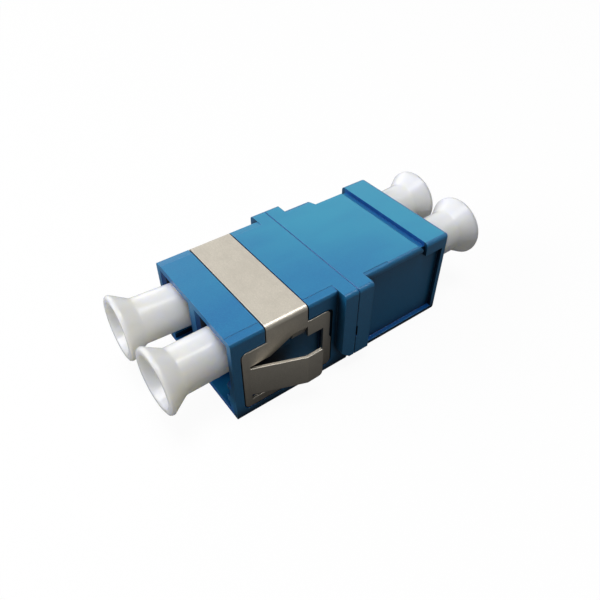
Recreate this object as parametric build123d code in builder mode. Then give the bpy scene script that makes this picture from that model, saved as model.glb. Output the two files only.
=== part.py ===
# Duplex fibre optic adapter with a steel panel clip and four dust caps
# Millimetres. X runs across the two ports, Y along the optical axis, Z up.
# The origin is on the bottom face, under the seam of the two housing halves.
from build123d import *
import math
import os

os.makedirs("parts", exist_ok=True)

# Driving dimensions of the housing
half_length = 12.2
body_width = 12.7
body_height = 9.5
rear_width = 12.5
port_pitch = 6.25
axis_height = 6.25
edge_round = 0.4
bottom_round = 0.15
rear_corner_round = 0.4

# Sloped strip along each long top edge, with a faint step on its inner side
strip_front_width = 0.9
strip_rear_width = 0.45
strip_rear_length = 2.85
strip_step = 0.03
strip_fall = 0.1

# Seam of the two halves, seen on the sides of the shoulder
seam_chamfer = 0.07
slit_width = 0.14
slit_depth = 0.4
slit_bottom = 3.9
slit_top = 5.2

# Shoulder that stops against the panel, and how far it stands out on each side
shoulder_reach = 1.05
shoulder_front = 1.5
shoulder_rear = 1.65
shoulder_bottom = 1.6
shoulder_nose = 0.9

# Ports and their latch channels
port_size = 4.62
port_lead = 0.3
web_thickness = 1.2
latch_floor = 0.55
latch_guide_width = 3.8
latch_guide_height = 0.75
latch_ear_width = 4.5
latch_ear_height = 1.0
latch_catch_width = 3.5
latch_catch_height = 0.75
latch_keel_width = 4.2
latch_depth = 9.2
latch_catch_depth = 3.2

# Alignment sleeves and the barrels that hold them
ferrule_diameter = 1.25
sleeve_wall = 0.18
sleeve_length = 6.8
sleeve_slot = 0.28
sleeve_clearance = 0.02
sleeve_end_play = 0.1
barrel_diameter = 2.9
barrel_lip = 0.6
barrel_funnel_diameter = 1.9
barrel_funnel_angle = 22

# Steel clip
sheet = 0.28
clip_gap = 0.12
clip_bend = 0.42
band_front = 3.32
band_width = 4.15
plate_front = 0.92
plate_rear = 9.9
plate_step = 0.2
plate_step_length = 1.2
plate_step_height = 4.6
plate_bottom = 0.95
plate_top = 7.72
plate_round = 0.45
window_front = 1.62
window_rear = 9.2
window_top = 5.95
window_bottom = 1.75
slot_width = 0.6
slot_top_width = 0.3
tongue_kink = 6.25
tongue_end = 7.85
tongue_reach = 1.77
tongue_return = 0.04
tongue_top_round = 0.15
tongue_bottom_round = 0.4
tab_start = 3.6
tab_slant = 2.4
tab_end = 7.5
tab_hinge = 7.1
tab_bend = 0.3
tab_drop = 0.8
pocket_margin = 0.2
pocket_clearance = 0.02
bend_overlap = 0.05
band_overlap = 0.2

# Rear half: side recesses, top groove, rim and notch
recess_floor = 5.8
recess_bottom = 0.5
recess_top = 8.85
rim_recess_top = 8.1
side_rim = 0.75
rim_length = 2.95
groove_width = 0.95
groove_depth = 0.45
notch_front = 4.5
notch_slant = 0.4
notch_edge = 5.2
notch_drop = 0.75

# Dust caps
cap_shaft_diameter = 4.26
cap_flare_diameter = 6.04
cap_rim = 0.35
cap_rim_round = 0.2
cap_rim_facet = 0.06
cap_flare_length = 1.5
cap_flare_round = 0.5
cap_in = 8.8
cap_tip_lead = 0.5
cap_bore_clearance = 0.18
cap_bore_depth = 2.9
cap_mouth_diameter = 4.8
cap_funnel_bore = 1.9
cap_funnel_depth = 1.9
cap_well_depth = 6.0
front_cap_out = 5.55
rear_cap_out = 5.2
cap_shift = 0.15
front_right_cap_drop = 0.04
rear_right_cap_shift = 0.11

# How the caps sit, loose in their ports. For each: how far it stands out, how far it is
# shifted across and up at the port's face, and by how many degrees it leans across and up
cap_seats = {
    ("front", "left"): (front_cap_out, -cap_shift, cap_shift, -1.7, 1.8),
    ("front", "right"): (front_cap_out, cap_shift, -front_right_cap_drop, 1.8, 0.65),
    ("rear", "left"): (rear_cap_out, -cap_shift, cap_shift, -1.8, 1.8),
    ("rear", "right"): (rear_cap_out, -rear_right_cap_shift, cap_shift, 0.2, 1.8),
}

# Edges are picked by place to within this distance
pick_tolerance = 0.01

# Values worked out from those above
half_body = body_width / 2
shoulder_width = body_width + 2 * shoulder_reach
half_shoulder = shoulder_width / 2
half_rear = rear_width / 2
half_port = port_size / 2
port_centres = [-port_pitch / 2, port_pitch / 2]
port_bottom = axis_height - half_port
sleeve_diameter = ferrule_diameter + 2 * sleeve_wall
chamber_diameter = sleeve_diameter + 2 * sleeve_clearance
chamber_half = sleeve_length / 2 + sleeve_end_play
barrel_end = chamber_half + barrel_lip
front_face = -half_length
plate_outer = half_body
plate_inner = half_body - sheet
clip_top = body_height
band_bottom = plate_top - band_overlap
rim_start = half_length - rim_length


def along(distance):
    """Y of a place that many millimetres behind the front face."""
    return front_face + distance


def latch_sections():
    """Width and height of each step of a latch channel, from the port down."""
    keel_height = port_bottom - latch_floor - latch_guide_height - latch_ear_height - latch_catch_height
    return [
        (latch_guide_width, latch_guide_height, latch_depth),
        (latch_ear_width, latch_ear_height, latch_depth),
        (latch_catch_width, latch_catch_height, latch_catch_depth),
        (latch_keel_width, keel_height, latch_depth),
    ]


def cut_ports(end):
    """Cuts both ports and latch channels into the open block. end is -1 at the front, 1 at the rear."""
    centres = [(x, 0) for x in port_centres]
    mouth = Plane((0, end * half_length, axis_height), x_dir=(1, 0, 0), z_dir=(0, -end, 0))
    with BuildSketch(mouth) as port_section:
        with Locations(*centres):
            Rectangle(port_size, port_size)
    extrude(port_section.sketch, amount=half_length - web_thickness, mode=Mode.SUBTRACT)

    # Lead-in round each port mouth
    with BuildSketch(mouth) as lead_section:
        with Locations(*centres):
            Rectangle(port_size + 2 * port_lead, port_size + 2 * port_lead)
    extrude(lead_section.sketch, amount=port_lead, taper=45, mode=Mode.SUBTRACT)

    # Stepped channels for the plugs' latches
    top = port_bottom
    for width, height, depth in latch_sections():
        step = Plane((0, end * half_length, top - height / 2), x_dir=(1, 0, 0), z_dir=(0, -end, 0))
        with BuildSketch(step) as channel_section:
            with Locations(*centres):
                Rectangle(width, height)
        extrude(channel_section.sketch, amount=depth, mode=Mode.SUBTRACT)
        top = top - height

    # The part of the channel behind each catch is as wide as the step above it
    catch_top = port_bottom - latch_guide_height - latch_ear_height
    behind = Plane(
        (0, end * (half_length - latch_catch_depth), catch_top - latch_catch_height / 2),
        x_dir=(1, 0, 0), z_dir=(0, -end, 0))
    with BuildSketch(behind) as behind_section:
        with Locations(*centres):
            Rectangle(latch_ear_width, latch_catch_height)
    extrude(behind_section.sketch, amount=latch_depth - latch_catch_depth, mode=Mode.SUBTRACT)


def slope_top_edges(half_width, strip_width, start, length):
    """Cuts the sloped strip into both long top edges, from start and for that length along Y."""
    with BuildSketch(Plane.XZ.offset(-start)) as strip_section:
        for side in (-1, 1):
            with BuildLine():
                Polyline(
                    (side * (half_width - strip_width), body_height),
                    (side * (half_width - strip_width), body_height - strip_step),
                    (side * half_width, body_height - strip_fall),
                    (side * half_width, body_height), close=True)
            make_face()
    extrude(strip_section.sketch, amount=-length, mode=Mode.SUBTRACT)


def add_barrels(end):
    """Adds the two barrels on the web and bores them for the sleeves and the ferrules.

    end is -1 at the front, 1 at the rear.
    """
    centres = [(x, 0) for x in port_centres]
    seam = Plane((0, 0, axis_height), x_dir=(1, 0, 0), z_dir=(0, end, 0))
    steps = [(barrel_diameter, barrel_end, Mode.ADD), (chamber_diameter, chamber_half, Mode.SUBTRACT)]
    for diameter, length, mode in steps:
        with BuildSketch(seam) as barrel_section:
            with Locations(*centres):
                Circle(diameter / 2)
        extrude(barrel_section.sketch, amount=length, mode=mode)

    # Funnel through the lip, narrower than the sleeve that it holds back
    lip = Plane((0, end * barrel_end, axis_height), x_dir=(1, 0, 0), z_dir=(0, -end, 0))
    with BuildSketch(lip) as funnel_section:
        with Locations(*centres):
            Circle(barrel_funnel_diameter / 2)
    extrude(funnel_section.sketch, amount=barrel_lip, taper=barrel_funnel_angle, mode=Mode.SUBTRACT)


# Front half of the housing: it goes through the panel and carries the clip
with BuildPart() as front_housing:
    with BuildSketch(Plane.XZ):
        with Locations((0, body_height / 2)):
            Rectangle(body_width, body_height)
    extrude(amount=half_length)
    fillet(front_housing.edges().filter_by(Axis.Y).group_by(Axis.Z)[-1], edge_round)
    fillet(front_housing.edges().filter_by(Axis.Y).group_by(Axis.Z)[0], bottom_round)

    slope_top_edges(half_body, strip_front_width, front_face, half_length)

    # Shoulder, with its lower front corner cut back
    with BuildSketch(Plane.YZ.offset(-half_shoulder)):
        with BuildLine():
            Polyline(
                (0, body_height), (-shoulder_front, body_height),
                (-shoulder_front, shoulder_bottom + shoulder_nose),
                (-shoulder_front + shoulder_nose, shoulder_bottom), (0, shoulder_bottom), close=True)
        make_face()
    extrude(amount=shoulder_width)
    ear_tops = front_housing.edges().filter_by(Axis.Y).filter_by(
        lambda e: abs(e.center().Z - body_height) < pick_tolerance and abs(e.center().X) > half_body)
    fillet(ear_tops, edge_round)
    ear_seams = front_housing.edges().filter_by(Axis.Z).filter_by(
        lambda e: abs(e.center().Y) < pick_tolerance and abs(e.center().X) > half_body + edge_round)
    chamfer(ear_seams, seam_chamfer)

    cut_ports(-1)
    add_barrels(-1)

    # Seat of the clip: over the top and on both sides
    band_middle = along(band_front + band_width / 2)
    with BuildSketch(Plane.XY.offset(body_height - sheet)):
        with Locations((0, band_middle)):
            Rectangle(body_width, band_width + 2 * clip_gap)
    extrude(amount=sheet, mode=Mode.SUBTRACT)
    plate_seat_length = plate_rear + plate_step - plate_front + 2 * clip_gap
    plate_seat_middle = along((plate_rear + plate_step + plate_front) / 2)
    for side in (-1, 1):
        with BuildSketch(Plane.YZ.offset(side * (plate_inner + sheet / 2))):
            with Locations((plate_seat_middle, (plate_top + plate_bottom) / 2)):
                RectangleRounded(
                    plate_seat_length, plate_top - plate_bottom + 2 * clip_gap, plate_round + clip_gap)
            with Locations((band_middle, (body_height + plate_bottom) / 2)):
                Rectangle(band_width + 2 * clip_gap, body_height - plate_bottom)
        extrude(amount=sheet / 2, both=True, mode=Mode.SUBTRACT)
    band_ends = front_housing.edges().filter_by(Axis.Y).filter_by(
        lambda e: abs(abs(e.center().X) - plate_inner) < pick_tolerance
        and abs(e.center().Z - body_height + sheet) < pick_tolerance)
    fillet(band_ends, clip_bend - sheet)

    # Recess behind each window of the clip, for its tongue to fold into, with a pocket above it
    # that the clip's inward tab hooks into
    pocket_depth = tab_bend + pocket_clearance
    pocket_top = tab_hinge + pocket_margin
    pocket_middle = (along((tab_start + tab_slant + tab_end) / 2), (window_top + pocket_top) / 2)
    window_middle = (along((window_front + window_rear) / 2), (window_top + window_bottom) / 2)
    for side in (-1, 1):
        with BuildSketch(Plane.YZ.offset(side * (plate_inner - pocket_depth))):
            with Locations(window_middle):
                Rectangle(window_rear - window_front, window_top - window_bottom)
            with Locations(pocket_middle):
                Rectangle(tab_end - tab_start - tab_slant + 2 * pocket_margin, pocket_top - window_top)
        extrude(amount=side * pocket_depth, mode=Mode.SUBTRACT)
front_housing.part.label = "front_housing"
export_step(front_housing.part, "parts/front_housing.step")

# Rear half of the housing: it stays outside the panel
with BuildPart() as rear_housing:
    with BuildSketch(Plane.XZ):
        with Locations((0, body_height / 2)):
            Rectangle(rear_width, body_height)
    extrude(amount=-half_length)
    fillet(rear_housing.edges().filter_by(Axis.Y).group_by(Axis.Z)[-1], edge_round)
    fillet(rear_housing.edges().filter_by(Axis.Y).group_by(Axis.Z)[0], bottom_round)
    fillet(rear_housing.edges().filter_by(Axis.Z).group_by(Axis.Y)[-1], rear_corner_round)

    slope_top_edges(half_rear, strip_rear_width, 0, shoulder_rear + strip_rear_length)

    with BuildSketch(Plane.XZ):
        with Locations((0, (body_height + shoulder_bottom) / 2)):
            Rectangle(shoulder_width, body_height - shoulder_bottom)
    extrude(amount=-shoulder_rear)
    ear_tops = rear_housing.edges().filter_by(Axis.Y).filter_by(
        lambda e: abs(e.center().Z - body_height) < pick_tolerance and abs(e.center().X) > half_body)
    fillet(ear_tops, edge_round)
    ear_seams = rear_housing.edges().filter_by(Axis.Z).filter_by(
        lambda e: abs(e.center().Y) < pick_tolerance and abs(e.center().X) > half_body + edge_round)
    chamfer(ear_seams, seam_chamfer)

    # Weld slit in each side of the shoulder, at the seam
    with BuildSketch(Plane.XZ):
        for side in (-1, 1):
            with Locations((side * (half_shoulder - slit_depth / 2), (slit_top + slit_bottom) / 2)):
                Rectangle(slit_depth, slit_top - slit_bottom)
    extrude(amount=-slit_width, mode=Mode.SUBTRACT)

    cut_ports(1)
    add_barrels(1)

    # Side recesses: a long flat panel with a lower part under the rim
    recess_depth = half_rear - recess_floor
    for side in (-1, 1):
        with BuildSketch(Plane.YZ.offset(side * recess_floor)):
            with BuildLine():
                Polyline(
                    (shoulder_rear, recess_bottom), (half_length - side_rim, recess_bottom),
                    (half_length - side_rim, rim_recess_top), (rim_start, rim_recess_top),
                    (rim_start, recess_top), (shoulder_rear, recess_top), close=True)
            make_face()
        extrude(amount=side * recess_depth, mode=Mode.SUBTRACT)

    # Groove in front of the rim: a slope down, a short floor and an upright wall
    with BuildSketch(Plane.YZ.offset(-half_rear)):
        with BuildLine():
            Polyline(
                (rim_start - groove_width, body_height),
                (rim_start - groove_width / 2, body_height - groove_depth),
                (rim_start, body_height - groove_depth), (rim_start, body_height), close=True)
        make_face()
    extrude(amount=rear_width, mode=Mode.SUBTRACT)
    with BuildSketch(Plane.XY.offset(recess_top)):
        with Locations((half_rear - recess_depth / 2, rim_start - groove_width / 4)):
            Rectangle(recess_depth, groove_width / 2)
    extrude(amount=body_height - recess_top, mode=Mode.SUBTRACT)

    # Notch in the left top edge, sloped down to the recess
    with BuildSketch(Plane.XY.offset(body_height - notch_drop)):
        with BuildLine():
            Polyline(
                (-half_rear, notch_front), (-notch_edge, notch_front + notch_slant),
                (-notch_edge, rim_start), (-half_rear, rim_start), close=True)
        make_face()
    notch_tool = extrude(amount=notch_drop, mode=Mode.PRIVATE)
    with BuildSketch(Plane.XZ.offset(-notch_front)):
        with BuildLine():
            Polyline(
                (-notch_edge, body_height), (-recess_floor, body_height - notch_drop),
                (-half_rear, body_height - notch_drop), (-half_rear, body_height), close=True)
        make_face()
    slope_tool = extrude(amount=-(rim_start - notch_front), mode=Mode.PRIVATE)
    add(notch_tool & slope_tool, mode=Mode.SUBTRACT)
rear_housing.part.label = "rear_housing"
export_step(rear_housing.part, "parts/rear_housing.step")

# Clip folded from one steel sheet: a band over the top and a plate on each side
with BuildPart() as panel_clip:
    with BuildSketch(Plane.XZ.offset(-along(band_front))):
        with BuildLine():
            Polyline(
                (-plate_outer, band_bottom), (-plate_outer, clip_top), (plate_outer, clip_top),
                (plate_outer, band_bottom), (plate_inner, band_bottom),
                (plate_inner, clip_top - sheet), (-plate_inner, clip_top - sheet),
                (-plate_inner, band_bottom), close=True)
        make_face()
    extrude(amount=-band_width)
    bends = panel_clip.edges().filter_by(Axis.Y)
    fillet(bends.group_by(Axis.Z)[-1], clip_bend)
    inner_bends = panel_clip.edges().filter_by(Axis.Y).filter_by(
        lambda e: abs(e.center().Z - clip_top + sheet) < pick_tolerance
        and abs(abs(e.center().X) - plate_inner) < pick_tolerance)
    fillet(inner_bends, clip_bend - sheet)

    for side in (-1, 1):
        # Plate with its window, slots and stepped rear edge
        with BuildSketch(Plane.YZ.offset(side * plate_inner)):
            with Locations((along((plate_front + plate_rear) / 2), (plate_top + plate_bottom) / 2)):
                RectangleRounded(plate_rear - plate_front, plate_top - plate_bottom, plate_round)
            step_middle = along(plate_rear + plate_step - plate_step_length / 2)
            with Locations((step_middle, (plate_step_height + plate_bottom) / 2)):
                RectangleRounded(plate_step_length, plate_step_height - plate_bottom, plate_round)
            with BuildLine(mode=Mode.PRIVATE) as opening:
                Polyline(
                    (along(window_front), window_bottom), (along(window_rear), window_bottom),
                    (along(window_rear), window_top), (along(tab_end), window_top),
                    (along(tab_end), tab_hinge), (along(tab_start + tab_slant), tab_hinge),
                    (along(tab_start), window_top), (along(window_front), window_top), close=True)
            make_face(opening.edges(), mode=Mode.SUBTRACT)
        extrude(amount=side * sheet)

        # Spring tongue: rooted at the window's front end, free at the rear
        root = along(window_front) - bend_overlap
        kink = along(tongue_kink)
        tip = along(tongue_end)
        reach = plate_inner + tongue_reach
        tongue_bottom = window_bottom + slot_width
        tongue_top = window_top - slot_top_width
        with BuildSketch(Plane.XY.offset(tongue_bottom)):
            with BuildLine():
                Polyline(
                    (side * plate_inner, root), (side * reach, kink), (side * (reach - tongue_return), tip),
                    (side * (reach - tongue_return + sheet), tip), (side * (reach + sheet), kink),
                    (side * (plate_inner + sheet), root), close=True)
            make_face()
        extrude(amount=tongue_top - tongue_bottom)
        for height, radius in ((tongue_bottom, tongue_bottom_round), (tongue_top, tongue_top_round)):
            tip_corner = panel_clip.edges().filter_by(
                lambda e: abs(e.center().Y - tip) < pick_tolerance
                and abs(e.center().Z - height) < pick_tolerance and e.center().X * side > plate_outer)
            fillet(tip_corner, radius)

        # Tab bent inward above the window
        with BuildSketch(Plane.XZ.offset(-along(tab_start + tab_slant))):
            with BuildLine():
                Polyline(
                    (side * plate_outer, tab_hinge + bend_overlap),
                    (side * plate_inner, tab_hinge + bend_overlap),
                    (side * (plate_inner - tab_bend), tab_hinge - tab_drop),
                    (side * (plate_inner - tab_bend + sheet), tab_hinge - tab_drop), close=True)
            make_face()
        extrude(amount=-(tab_end - tab_start - tab_slant - clip_gap))
panel_clip.part.label = "panel_clip"
export_step(panel_clip.part, "parts/panel_clip.step")

# Split ceramic sleeves, one on each optical axis
for place, centre in zip(("left", "right"), port_centres):
    with BuildPart() as sleeve:
        with BuildSketch(Plane((centre, -sleeve_length / 2, axis_height), x_dir=(1, 0, 0), z_dir=(0, 1, 0))):
            Circle(sleeve_diameter / 2)
            Circle(ferrule_diameter / 2, mode=Mode.SUBTRACT)
            with Locations((0, -sleeve_diameter / 2)):
                Rectangle(sleeve_slot, sleeve_diameter, mode=Mode.SUBTRACT)
        extrude(amount=sleeve_length)
    sleeve.part.label = f"alignment_sleeve_{place}"
    export_step(sleeve.part, f"parts/alignment_sleeve_{place}.step")

# Dust caps: a hollow plug with a flared grip, two at each end
shaft_radius = cap_shaft_diameter / 2
flare_radius = cap_flare_diameter / 2
bore_radius = barrel_diameter / 2 + cap_bore_clearance
for (face, place), (cap_out, across, lift, lean_across, lean_up) in cap_seats.items():
    end = {"front": -1, "rear": 1}[face]
    centre = {"left": port_centres[0], "right": port_centres[1]}[place]
    seat = Vector(centre + across, end * half_length, axis_height + lift)
    out_of_port = Vector(
        math.tan(math.radians(lean_across)), end, math.tan(math.radians(lean_up))).normalized()
    radial = out_of_port.cross(Vector(0, 0, 1)).normalized()

    # Radius runs along the sketch's x, distance out of the port along its y. The rim's
    # front edge is rounded by two facets, which keeps the mesh light
    profile_plane = Plane(origin=seat, x_dir=radial, z_dir=radial.cross(out_of_port))
    flare_start = cap_out - cap_rim - cap_flare_length
    with BuildPart() as cap:
        with BuildSketch(profile_plane):
            with BuildLine():
                Polyline(
                    (0, cap_out - cap_well_depth), (0, -cap_in + cap_bore_depth),
                    (bore_radius, -cap_in + cap_bore_depth), (bore_radius, -cap_in),
                    (shaft_radius - cap_tip_lead / 2, -cap_in), (shaft_radius, -cap_in + cap_tip_lead),
                    (shaft_radius, flare_start), (flare_radius, cap_out - cap_rim),
                    (flare_radius, cap_out - cap_rim_round),
                    (flare_radius - cap_rim_facet, cap_out - cap_rim_facet),
                    (flare_radius - cap_rim_round, cap_out), (cap_mouth_diameter / 2, cap_out),
                    (cap_funnel_bore / 2, cap_out - cap_funnel_depth),
                    (cap_funnel_bore / 2, cap_out - cap_well_depth), close=True)
            profile = make_face()
            flare_corner = profile.vertices().sort_by_distance((shaft_radius, flare_start))[0]
            fillet(flare_corner, cap_flare_round)
        revolve(axis=Axis(seat, out_of_port))
    cap.part.label = f"dust_cap_{face}_{place}"
    export_step(cap.part, f"parts/dust_cap_{face}_{place}.step")
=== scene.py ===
"""Looks of the duplex fibre optic adapter: materials, lamps, floor, sky and camera."""
import math

import bpy
from mathutils import Matrix, Vector

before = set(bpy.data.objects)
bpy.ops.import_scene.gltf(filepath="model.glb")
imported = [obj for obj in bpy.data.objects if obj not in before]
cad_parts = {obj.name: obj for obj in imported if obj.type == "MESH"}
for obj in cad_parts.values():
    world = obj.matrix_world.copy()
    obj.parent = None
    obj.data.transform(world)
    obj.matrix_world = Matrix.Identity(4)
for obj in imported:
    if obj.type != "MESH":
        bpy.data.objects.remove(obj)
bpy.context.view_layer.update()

MM = 0.001
UP = (0, 0, 1)
ACROSS = (1, 0, 0)
WHITE = (1, 1, 1, 1)

# Where the Mix node keeps its two colours and their mixture
MIX_FIRST = 6
MIX_SECOND = 7
MIX_RESULT = 2

# Camera, worked out from the edges of the box in the photograph. Its focal length is in
# picture widths
CAMERA_PLACE = Vector((33.275, -25.457, 41.652)) * MM
CAMERA_AZIMUTH = math.radians(53.519)
CAMERA_ELEVATION = math.radians(42.789)
CAMERA_ROLL = math.radians(0.219)
CAMERA_NEAR = 1 * MM
CAMERA_FAR = 10
SENSOR_WIDTH = 36.0
FOCAL_SHARE = 572.02 / 600

# Colours, linear
BLUE = (0.026, 0.295, 0.47)
# Painted shade on the level faces towards the front right
BLUE_FRONT_PAINTED_SHADE = (0.005, 0.125, 0.37)
# Painted shade on faces that aren't level
BLUE_SLOPING_PAINTED_SHADE = (0.01, 0.13, 0.3)
BLUE_GRAIN = (0.03, 0.3, 0.5)
# Painted shade in hollows
BLUE_HOLLOW_PAINTED_SHADE = (0.003, 0.07, 0.28)
BLUE_SIDE_HOLLOW_PAINTED_SHADE = (0.001, 0.008, 0.02)
# Worn edges with a painted highlight
BLUE_WEAR_AND_HIGHLIGHT = (0.07, 0.36, 0.62)
STEEL = (0.5, 0.465, 0.4)
STEEL_DARK = (0.38, 0.35, 0.3)
STEEL_SHEARED = (0.7, 0.67, 0.62)
CAP_WHITE = (0.985, 0.97, 0.92)
CAP_SHADE = (0.98, 0.96, 0.88)
CERAMIC = (0.86, 0.85, 0.8)
CERAMIC_SHADE = (0.8, 0.79, 0.73)

# In the names below, SCALE is features per millimetre, MASK the range over which a mask rises
# from 0 to 1, SHARE how much of the second colour the mask lets in, BUMP the strength of a
# bump and BUMP_HEIGHT its full height

# Blue plastic: painted shade, which makes the level faces deeper towards the front right, by
# millimetres along the direction below
BLUE_FRONT_SHADE_TOWARDS = (0.75, -0.66, 0)
BLUE_FRONT_SHADE_MASK = (-8, 15)
BLUE_FLOW_STRETCH = (1, 0.35, 1)
BLUE_FLOW_SCALE = 0.28
BLUE_FLOW_MASK = (0.35, 0.65)
BLUE_FLOW_SHIFT = (-0.12, 0.12)
BLUE_GRAIN_SCALE = 9.0
BLUE_GRAIN_MASK = (0.42, 0.62)
BLUE_GRAIN_SHARE = (0.0, 0.2)

# Blue plastic: painted shade on faces that aren't level, and on upright ones in hollows, by the
# upward part of their normal
BLUE_SLOPING_SHADE_MASK = (0.999, 0.985)
BLUE_UPRIGHT_MASK = (0.5, 0.2)

# Blue plastic: painted shade in hollows, darkest on what faces sideways or stands upright on the
# outer sides, by the sideways part of the normal and by millimetres from the middle plane
BLUE_SIDEWAYS_MASK = (0.5, 0.9)
BLUE_OUTER_MASK = (5.75, 5.85)
BLUE_HOLLOW_SHADE_REACH = 2 * MM
BLUE_HOLLOW_SHADE_MASK = (0.55, 0.96)

# Blue plastic: worn edges with a painted highlight, and gloss
BLUE_EDGE_RADIUS = 0.06 * MM
BLUE_EDGE_BENT = 0.55
BLUE_WEAR_SCALE = 1.4
BLUE_WEAR_MASK = (0.35, 0.6)
BLUE_WEAR_AND_HIGHLIGHT_SHARE = (0.15, 0.6)
BLUE_GLOSS_MASK = (0.35, 0.65)
BLUE_ROUGHNESS = (0.28, 0.42)
BLUE_SPECULAR = 0.38
BLUE_BUMP = 0.35
BLUE_BUMP_HEIGHT = 0.012 * MM

# Clip steel
STEEL_STREAK_STRETCH = (1, 5, 1)
STEEL_STREAK_SCALE = 1.6
STEEL_STREAK_MASK = (0.35, 0.65)
STEEL_STREAK_SHARE = (0.0, 0.25)
STEEL_STAIN_SCALE = 0.7
STEEL_STAIN_MASK = (0.42, 0.7)
STEEL_STAIN_SHARE = (0.0, 0.45)
STEEL_GRAIN_SCALE = 11.0
STEEL_GRAIN_MASK = (0.3, 0.7)
STEEL_GRAIN_SHARE = (0.3, 1.0)
STEEL_EDGE_RADIUS = 0.06 * MM
STEEL_EDGE_BENT = 0.6
STEEL_EDGE_SHARE = (0, 0.5)
STEEL_GLOSS_MASK = (0.3, 0.7)
STEEL_ROUGHNESS = (0.36, 0.46)
STEEL_BUMP = 0.3
STEEL_BUMP_HEIGHT = 0.006 * MM

# Cap plastic
CAP_CLOUD_SCALE = 0.55
CAP_CLOUD_MASK = (0.38, 0.66)
CAP_SKIN_SCALE = 5.0
CAP_SKIN_MASK = (0.35, 0.65)
CAP_ROUGHNESS = (0.16, 0.26)
CAP_EDGE_RADIUS = 0.3 * MM
CAP_BUMP = 0.2
CAP_BUMP_HEIGHT = 0.02 * MM
CAP_TRANSLUCENCY = 0.8
CAP_LIGHT_REACH = 3.0 * MM
CAP_LIGHT_TINT = (1.0, 0.9, 0.6)

# Zirconia
CERAMIC_RING_STRETCH = (0.2, 12, 0.2)
CERAMIC_RING_SCALE = 1.5
CERAMIC_RING_MASK = (0.35, 0.65)
CERAMIC_GLOSS_MASK = (0.3, 0.7)
CERAMIC_ROUGHNESS = (0.12, 0.24)
CERAMIC_BUMP = 0.15
CERAMIC_BUMP_HEIGHT = 0.004 * MM

# Samples of the shader nodes that look round themselves, and how straight a rounded normal
# still is where a face counts as flat
NODE_SAMPLES = 8
EDGE_STRAIGHT = 0.985

# Lamps, each by where it stands. The key is overhead, and the other two fill the left and
# the front. At a level of 1 a surface that faces the lamp shows in its own colour
LAMP_DISTANCE = 0.5
KEY_DIRECTION = Vector((0.055, -0.05, 1))
KEY_SIZE = 0.2
KEY_LEVEL = 0.6
SIDE_DIRECTION = Vector((-0.9, 0.05, 0.3))
SIDE_SIZE = 0.3
SIDE_LEVEL = 0.12
FRONT_DIRECTION = Vector((-0.42, -0.85, 0.42))
FRONT_SIZE = 0.3
FRONT_LEVEL = 0.72

# Sky: white to the camera and faint as light. In gloss it fades from its bright side to the
# other, and holds a bright round patch
SKY_SEEN = 1
SKY_LEVEL = 0.07
SKY_BRIGHT_SIDE = (-0.52, 0.4, 0.75)
SKY_FADE = (-0.3, 0.5)
SKY_MIRRORED = (0.15, 1.15)
PATCH_DIRECTION = Vector((0.16, 0.436, 0.885))
PATCH_INNER = math.radians(8)
PATCH_OUTER = math.radians(13)
PATCH_MIRRORED = 7

# Floor: nearly white to the camera and dim as light. In gloss it is dark next to the object
# and brighter further off, by millimetres from the origin, stretched along the object
FLOOR_SIZE = 3.0
FLOOR_GREY = 0.06
FLOOR_SEEN = 0.94
FLOOR_BOUNCED = 0.19
FLOOR_STRETCH = (1, 0.4, 0)
FLOOR_FADE = (8, 30)
FLOOR_MIRRORED = (0.02, 0.42)


def add_node(tree, kind, **settings):
    """Adds a shader node and sets its properties and inputs by name."""
    node = tree.nodes.new(kind)
    for name, value in settings.items():
        if hasattr(node, name):
            setattr(node, name, value)
        else:
            node.inputs[name.replace("_", " ")].default_value = value
    return node


def mm_coordinates(tree, stretch=(1, 1, 1)):
    """Object coordinates in millimetres, stretched along the axes."""
    place = add_node(tree, "ShaderNodeTexCoord")
    mapping = add_node(tree, "ShaderNodeMapping")
    mapping.inputs["Scale"].default_value = [s / MM for s in stretch]
    tree.links.new(place.outputs["Object"], mapping.inputs["Vector"])
    return mapping.outputs["Vector"]


def noise(tree, vector, scale, detail=3.0, roughness=0.55):
    """A noise value between about 0.3 and 0.7, at that many features per millimetre."""
    node = add_node(tree, "ShaderNodeTexNoise", Scale=scale, Detail=detail, Roughness=roughness)
    tree.links.new(vector, node.inputs["Vector"])
    return node.outputs["Fac"]


def spread(tree, value, between, to=(0.0, 1.0)):
    """Maps a value from one range to another, clamped."""
    node = add_node(tree, "ShaderNodeMapRange", clamp=True)
    node.inputs["From Min"].default_value, node.inputs["From Max"].default_value = between
    node.inputs["To Min"].default_value, node.inputs["To Max"].default_value = to
    tree.links.new(value, node.inputs["Value"])
    return node.outputs["Result"]


def combined(tree, operation, first, second, clamped=False):
    """Two values put together by a math operation."""
    node = add_node(tree, "ShaderNodeMath", operation=operation, use_clamp=clamped)
    tree.links.new(first, node.inputs[0])
    tree.links.new(second, node.inputs[1])
    return node.outputs["Value"]


def distance_along(tree, vector, direction):
    """How far a place lies along a direction, in the vector's own unit."""
    node = add_node(tree, "ShaderNodeVectorMath", operation="DOT_PRODUCT")
    tree.links.new(vector, node.inputs[0])
    node.inputs[1].default_value = direction
    return node.outputs["Value"]


def distance_across(tree, vector):
    """How far a place lies to either side of the plane between the ports, in the vector's unit."""
    node = add_node(tree, "ShaderNodeVectorMath", operation="ABSOLUTE")
    tree.links.new(vector, node.inputs[0])
    return distance_along(tree, node.outputs["Vector"], ACROSS)


def mix_colour(tree, factor, first, second):
    """Mixes two colours; each is a colour or the output of another node."""
    node = add_node(tree, "ShaderNodeMix", data_type="RGBA")
    tree.links.new(factor, node.inputs["Factor"])
    for socket, colour in ((node.inputs[MIX_FIRST], first), (node.inputs[MIX_SECOND], second)):
        if isinstance(colour, tuple):
            socket.default_value = (*colour, 1)
        else:
            tree.links.new(colour, socket)
    return node.outputs[MIX_RESULT]


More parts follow.
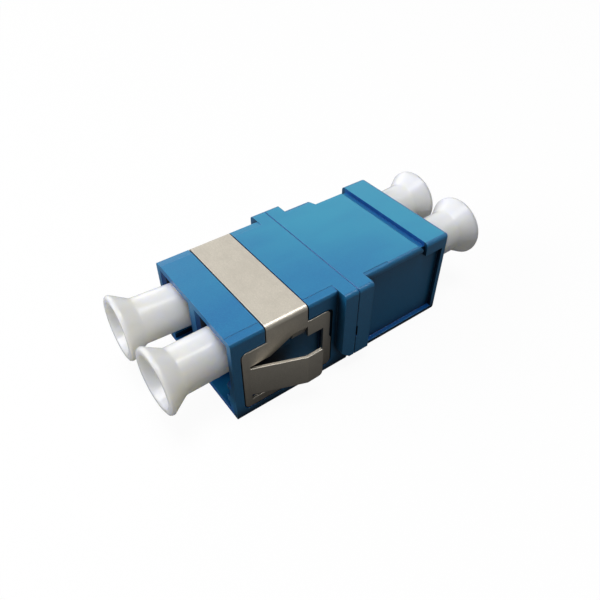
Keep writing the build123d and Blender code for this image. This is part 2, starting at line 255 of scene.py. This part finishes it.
def mix_value(tree, factor, first, second):
    """Mixes two values; each is a number or the output of another node."""
    node = add_node(tree, "ShaderNodeMix")
    tree.links.new(factor, node.inputs["Factor"])
    for name, value in (("A", first), ("B", second)):
        if isinstance(value, (int, float)):
            node.inputs[name].default_value = value
        else:
            tree.links.new(value, node.inputs[name])
    return node.outputs["Result"]


def rounded_normal(tree, radius):
    """The normal, rounded over the object's edges."""
    node = add_node(tree, "ShaderNodeBevel", samples=NODE_SAMPLES, Radius=radius)
    return node.outputs["Normal"]


def edge_mask(tree, rounded, bent):
    """1 on sharp edges and 0 away from them, by how far the rounded normal leaves the plain one."""
    plain = add_node(tree, "ShaderNodeNewGeometry")
    dot = add_node(tree, "ShaderNodeVectorMath", operation="DOT_PRODUCT")
    tree.links.new(rounded, dot.inputs[0])
    tree.links.new(plain.outputs["Normal"], dot.inputs[1])
    return spread(tree, dot.outputs["Value"], (EDGE_STRAIGHT, bent))


def bumped(tree, height, strength, distance, normal=None):
    """A bump on top of a normal; distance is in metres."""
    node = add_node(tree, "ShaderNodeBump", Strength=strength, Distance=distance)
    tree.links.new(height, node.inputs["Height"])
    if normal is not None:
        tree.links.new(normal, node.inputs["Normal"])
    return node.outputs["Normal"]


def new_material(name):
    """A node material with one Principled shader, its node tree and that shader."""
    material = bpy.data.materials.new(name)
    material.use_nodes = True
    return material, material.node_tree, material.node_tree.nodes["Principled BSDF"]


def finish_surface(tree, shader, colour, roughness, normal):
    """Links a surface's colour, roughness and normal to its shader."""
    tree.links.new(colour, shader.inputs["Base Color"])
    tree.links.new(roughness, shader.inputs["Roughness"])
    tree.links.new(normal, shader.inputs["Normal"])


def blue_hollow_shade(tree, place, facing):
    """Where painted shade darkens the plastic's hollows, from 0 to 1, and that shade's colour."""
    hollow = add_node(
        tree, "ShaderNodeAmbientOcclusion", samples=NODE_SAMPLES, Distance=BLUE_HOLLOW_SHADE_REACH)
    sideways = spread(tree, distance_across(tree, facing), BLUE_SIDEWAYS_MASK)
    outer = spread(tree, distance_across(tree, place), BLUE_OUTER_MASK)
    upright = spread(tree, distance_along(tree, facing, UP), BLUE_UPRIGHT_MASK)
    darkest = combined(tree, "MAXIMUM", sideways, mix_value(tree, upright, 0, outer))
    colour = mix_colour(tree, darkest, BLUE_HOLLOW_PAINTED_SHADE, BLUE_SIDE_HOLLOW_PAINTED_SHADE)
    return spread(tree, hollow.outputs["AO"], BLUE_HOLLOW_SHADE_MASK, (1, 0)), colour


def make_blue_plastic():
    """Satin moulded plastic: fine grain, painted shade towards the front right, on faces that
    aren't level and in hollows, and worn edges with a painted highlight.
    """
    material, tree, shader = new_material("blue_plastic")
    place = mm_coordinates(tree)
    facing = add_node(tree, "ShaderNodeNewGeometry").outputs["Normal"]
    flow = noise(tree, mm_coordinates(tree, BLUE_FLOW_STRETCH), BLUE_FLOW_SCALE, detail=2.0)
    grain = noise(tree, place, BLUE_GRAIN_SCALE, detail=4.0, roughness=0.6)
    wear = noise(tree, place, BLUE_WEAR_SCALE, detail=4.0, roughness=0.65)

    # Level faces from the paler blue into a painted shade towards the front right, unevenly, and
    # sloping faces in a painted shade of their own
    front_painted_shade = spread(tree, distance_along(tree, place, BLUE_FRONT_SHADE_TOWARDS), BLUE_FRONT_SHADE_MASK)
    shift = spread(tree, flow, BLUE_FLOW_MASK, BLUE_FLOW_SHIFT)
    shade_and_tone = combined(tree, "ADD", front_painted_shade, shift, clamped=True)
    level = mix_colour(tree, shade_and_tone, BLUE, BLUE_FRONT_PAINTED_SHADE)
    sloping_shade = spread(tree, distance_along(tree, facing, UP), BLUE_SLOPING_SHADE_MASK)
    base = mix_colour(tree, sloping_shade, level, BLUE_SLOPING_PAINTED_SHADE)
    grained = mix_colour(
        tree, spread(tree, grain, BLUE_GRAIN_MASK, BLUE_GRAIN_SHARE), base, BLUE_GRAIN)

    # Painted shade in the hollows
    hollow, hollow_shade_colour = blue_hollow_shade(tree, place, facing)
    hollow_shaded = mix_colour(tree, hollow, grained, hollow_shade_colour)

    rounded = rounded_normal(tree, BLUE_EDGE_RADIUS)
    # Sharp edges lightened, partly wear and partly a painted highlight
    wear_and_highlight = combined(
        tree, "MULTIPLY", edge_mask(tree, rounded, BLUE_EDGE_BENT),
        spread(tree, wear, BLUE_WEAR_MASK, BLUE_WEAR_AND_HIGHLIGHT_SHARE))
    finish_surface(
        tree, shader, mix_colour(tree, wear_and_highlight, hollow_shaded, BLUE_WEAR_AND_HIGHLIGHT),
        spread(tree, grain, BLUE_GLOSS_MASK, BLUE_ROUGHNESS),
        bumped(tree, grain, BLUE_BUMP, BLUE_BUMP_HEIGHT, rounded))
    shader.inputs["Specular IOR Level"].default_value = BLUE_SPECULAR
    return material


def make_clip_steel():
    """Rolled spring steel: fine grain, faint streaks and stains, and bright sheared edges."""
    material, tree, shader = new_material("clip_steel")
    place = mm_coordinates(tree)
    streaks = noise(
        tree, mm_coordinates(tree, STEEL_STREAK_STRETCH), STEEL_STREAK_SCALE,
        detail=5.0, roughness=0.7)
    stains = noise(tree, place, STEEL_STAIN_SCALE, detail=4.0)
    grain = noise(tree, place, STEEL_GRAIN_SCALE, detail=2.0)
    rounded = rounded_normal(tree, STEEL_EDGE_RADIUS)
    sheared = edge_mask(tree, rounded, STEEL_EDGE_BENT)
    base = mix_colour(
        tree, spread(tree, grain, STEEL_GRAIN_MASK, STEEL_GRAIN_SHARE), STEEL_DARK, STEEL)
    rolled = mix_colour(
        tree, spread(tree, streaks, STEEL_STREAK_MASK, STEEL_STREAK_SHARE), base, STEEL_DARK)
    stained = mix_colour(
        tree, spread(tree, stains, STEEL_STAIN_MASK, STEEL_STAIN_SHARE), rolled, STEEL_DARK)
    finish_surface(
        tree, shader,
        mix_colour(tree, spread(tree, sheared, (0, 1), STEEL_EDGE_SHARE), stained, STEEL_SHEARED),
        spread(tree, streaks, STEEL_GLOSS_MASK, STEEL_ROUGHNESS),
        bumped(tree, grain, STEEL_BUMP, STEEL_BUMP_HEIGHT, rounded))
    shader.inputs["Metallic"].default_value = 1.0
    return material


def make_cap_plastic():
    """Soft translucent white plastic: light passes into it, and its skin is slightly uneven."""
    material, tree, shader = new_material("cap_plastic")
    place = mm_coordinates(tree)
    cloud = noise(tree, place, CAP_CLOUD_SCALE, detail=2.0)
    skin = noise(tree, place, CAP_SKIN_SCALE, detail=3.0)
    finish_surface(
        tree, shader,
        mix_colour(tree, spread(tree, cloud, CAP_CLOUD_MASK), CAP_SHADE, CAP_WHITE),
        spread(tree, skin, CAP_SKIN_MASK, CAP_ROUGHNESS),
        bumped(tree, skin, CAP_BUMP, CAP_BUMP_HEIGHT, rounded_normal(tree, CAP_EDGE_RADIUS)))
    shader.inputs["Subsurface Weight"].default_value = CAP_TRANSLUCENCY
    shader.inputs["Subsurface Radius"].default_value = CAP_LIGHT_TINT
    shader.inputs["Subsurface Scale"].default_value = CAP_LIGHT_REACH
    return material


def make_zirconia():
    """Ground ceramic: smooth, glossy, with grinding rings round its axis."""
    material, tree, shader = new_material("zirconia")
    rings = noise(tree, mm_coordinates(tree, CERAMIC_RING_STRETCH), CERAMIC_RING_SCALE, detail=3.0)
    finish_surface(
        tree, shader,
        mix_colour(tree, spread(tree, rings, CERAMIC_RING_MASK), CERAMIC_SHADE, CERAMIC),
        spread(tree, rings, CERAMIC_GLOSS_MASK, CERAMIC_ROUGHNESS),
        bumped(tree, rings, CERAMIC_BUMP, CERAMIC_BUMP_HEIGHT))
    return material


def dress(nodes, materials):
    """Gives each CAD node the material of its slot."""
    for node in nodes.values():
        for slot in node.material_slots:
            wanted = slot.material.name.split(".")[0]
            slot.material = materials[wanted]


def add_lamp(name, direction, size, level):
    """A square soft lamp aimed at the object."""
    data = bpy.data.lights.new(name, "AREA")
    data.shape = "SQUARE"
    data.size = size
    data.energy = level * math.pi ** 2 * LAMP_DISTANCE ** 2
    lamp = bpy.data.objects.new(name, data)
    bpy.context.scene.collection.objects.link(lamp)
    away = direction.normalized()
    lamp.location = away * LAMP_DISTANCE
    lamp.rotation_mode = "QUATERNION"
    lamp.rotation_quaternion = away.to_track_quat("Z", "Y")


def backdrop_strength(tree, seen, mirrored, bounced):
    """How bright the backdrop is to the camera, to gloss and glass, and to light that bounces."""
    path = add_node(tree, "ShaderNodeLightPath")
    gloss = combined(
        tree, "MAXIMUM", path.outputs["Is Glossy Ray"], path.outputs["Is Transmission Ray"])
    indirect = mix_value(tree, gloss, bounced, mirrored)
    return mix_value(tree, path.outputs["Is Camera Ray"], indirect, seen)


def make_floor():
    """A plain pale floor with the object's shadow on it."""
    mesh = bpy.data.meshes.new("floor")
    half = FLOOR_SIZE / 2
    corners = [(-half, -half, 0), (half, -half, 0), (half, half, 0), (-half, half, 0)]
    mesh.from_pydata(corners, [], [(0, 1, 2, 3)])
    floor = bpy.data.objects.new("floor", mesh)
    bpy.context.scene.collection.objects.link(floor)
    material = bpy.data.materials.new("floor")
    material.use_nodes = True
    tree = material.node_tree
    tree.nodes.clear()
    output = add_node(tree, "ShaderNodeOutputMaterial")
    surface = add_node(tree, "ShaderNodeBsdfDiffuse", Color=(FLOOR_GREY, FLOOR_GREY, FLOOR_GREY, 1))
    glow = add_node(tree, "ShaderNodeEmission", Color=WHITE)
    both = add_node(tree, "ShaderNodeAddShader")
    away = add_node(tree, "ShaderNodeVectorMath", operation="LENGTH")
    tree.links.new(mm_coordinates(tree, FLOOR_STRETCH), away.inputs[0])
    mirrored = spread(tree, away.outputs["Value"], FLOOR_FADE, FLOOR_MIRRORED)
    strength = backdrop_strength(tree, FLOOR_SEEN, mirrored, FLOOR_BOUNCED)
    tree.links.new(strength, glow.inputs["Strength"])
    tree.links.new(surface.outputs[0], both.inputs[0])
    tree.links.new(glow.outputs[0], both.inputs[1])
    tree.links.new(both.outputs[0], output.inputs["Surface"])
    mesh.materials.append(material)


def make_world():
    """A plain white sky, faint as light. In gloss it fades to one side and holds a patch."""
    world = bpy.data.worlds.new("world")
    world.use_nodes = True
    tree = world.node_tree
    background = tree.nodes["Background"]
    background.inputs["Color"].default_value = WHITE
    towards = add_node(tree, "ShaderNodeTexCoord").outputs["Generated"]
    fade = spread(tree, distance_along(tree, towards, SKY_BRIGHT_SIDE), SKY_FADE, SKY_MIRRORED)
    patch = spread(
        tree, distance_along(tree, towards, PATCH_DIRECTION.normalized()),
        (math.cos(PATCH_OUTER), math.cos(PATCH_INNER)), (0, PATCH_MIRRORED))
    strength = backdrop_strength(tree, SKY_SEEN, combined(tree, "ADD", fade, patch), SKY_LEVEL)
    tree.links.new(strength, background.inputs["Strength"])
    bpy.context.scene.world = world


def make_camera():
    """The photograph's own view."""
    data = bpy.data.cameras.new("camera")
    data.sensor_width = SENSOR_WIDTH
    data.lens = SENSOR_WIDTH * FOCAL_SHARE
    data.clip_start = CAMERA_NEAR
    data.clip_end = CAMERA_FAR
    camera = bpy.data.objects.new("camera", data)
    bpy.context.scene.collection.objects.link(camera)
    back = Vector((
        math.sin(CAMERA_AZIMUTH) * math.cos(CAMERA_ELEVATION),
        -math.cos(CAMERA_AZIMUTH) * math.cos(CAMERA_ELEVATION),
        math.sin(CAMERA_ELEVATION)))
    right = Vector(UP).cross(back).normalized()
    up = back.cross(right)
    rolled_right = right * math.cos(CAMERA_ROLL) + up * math.sin(CAMERA_ROLL)
    rolled_up = up * math.cos(CAMERA_ROLL) - right * math.sin(CAMERA_ROLL)
    turn = Matrix((rolled_right, rolled_up, back)).transposed().to_4x4()
    camera.matrix_world = Matrix.Translation(CAMERA_PLACE) @ turn
    bpy.context.scene.camera = camera


dress(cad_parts, {
    "blue_plastic": make_blue_plastic(),
    "clip_steel": make_clip_steel(),
    "cap_plastic": make_cap_plastic(),
    "zirconia": make_zirconia(),
})
add_lamp("key", KEY_DIRECTION, KEY_SIZE, KEY_LEVEL)
add_lamp("side", SIDE_DIRECTION, SIDE_SIZE, SIDE_LEVEL)
add_lamp("front", FRONT_DIRECTION, FRONT_SIZE, FRONT_LEVEL)
make_floor()
make_world()
make_camera()
bpy.context.scene.view_settings.view_transform = "Standard"
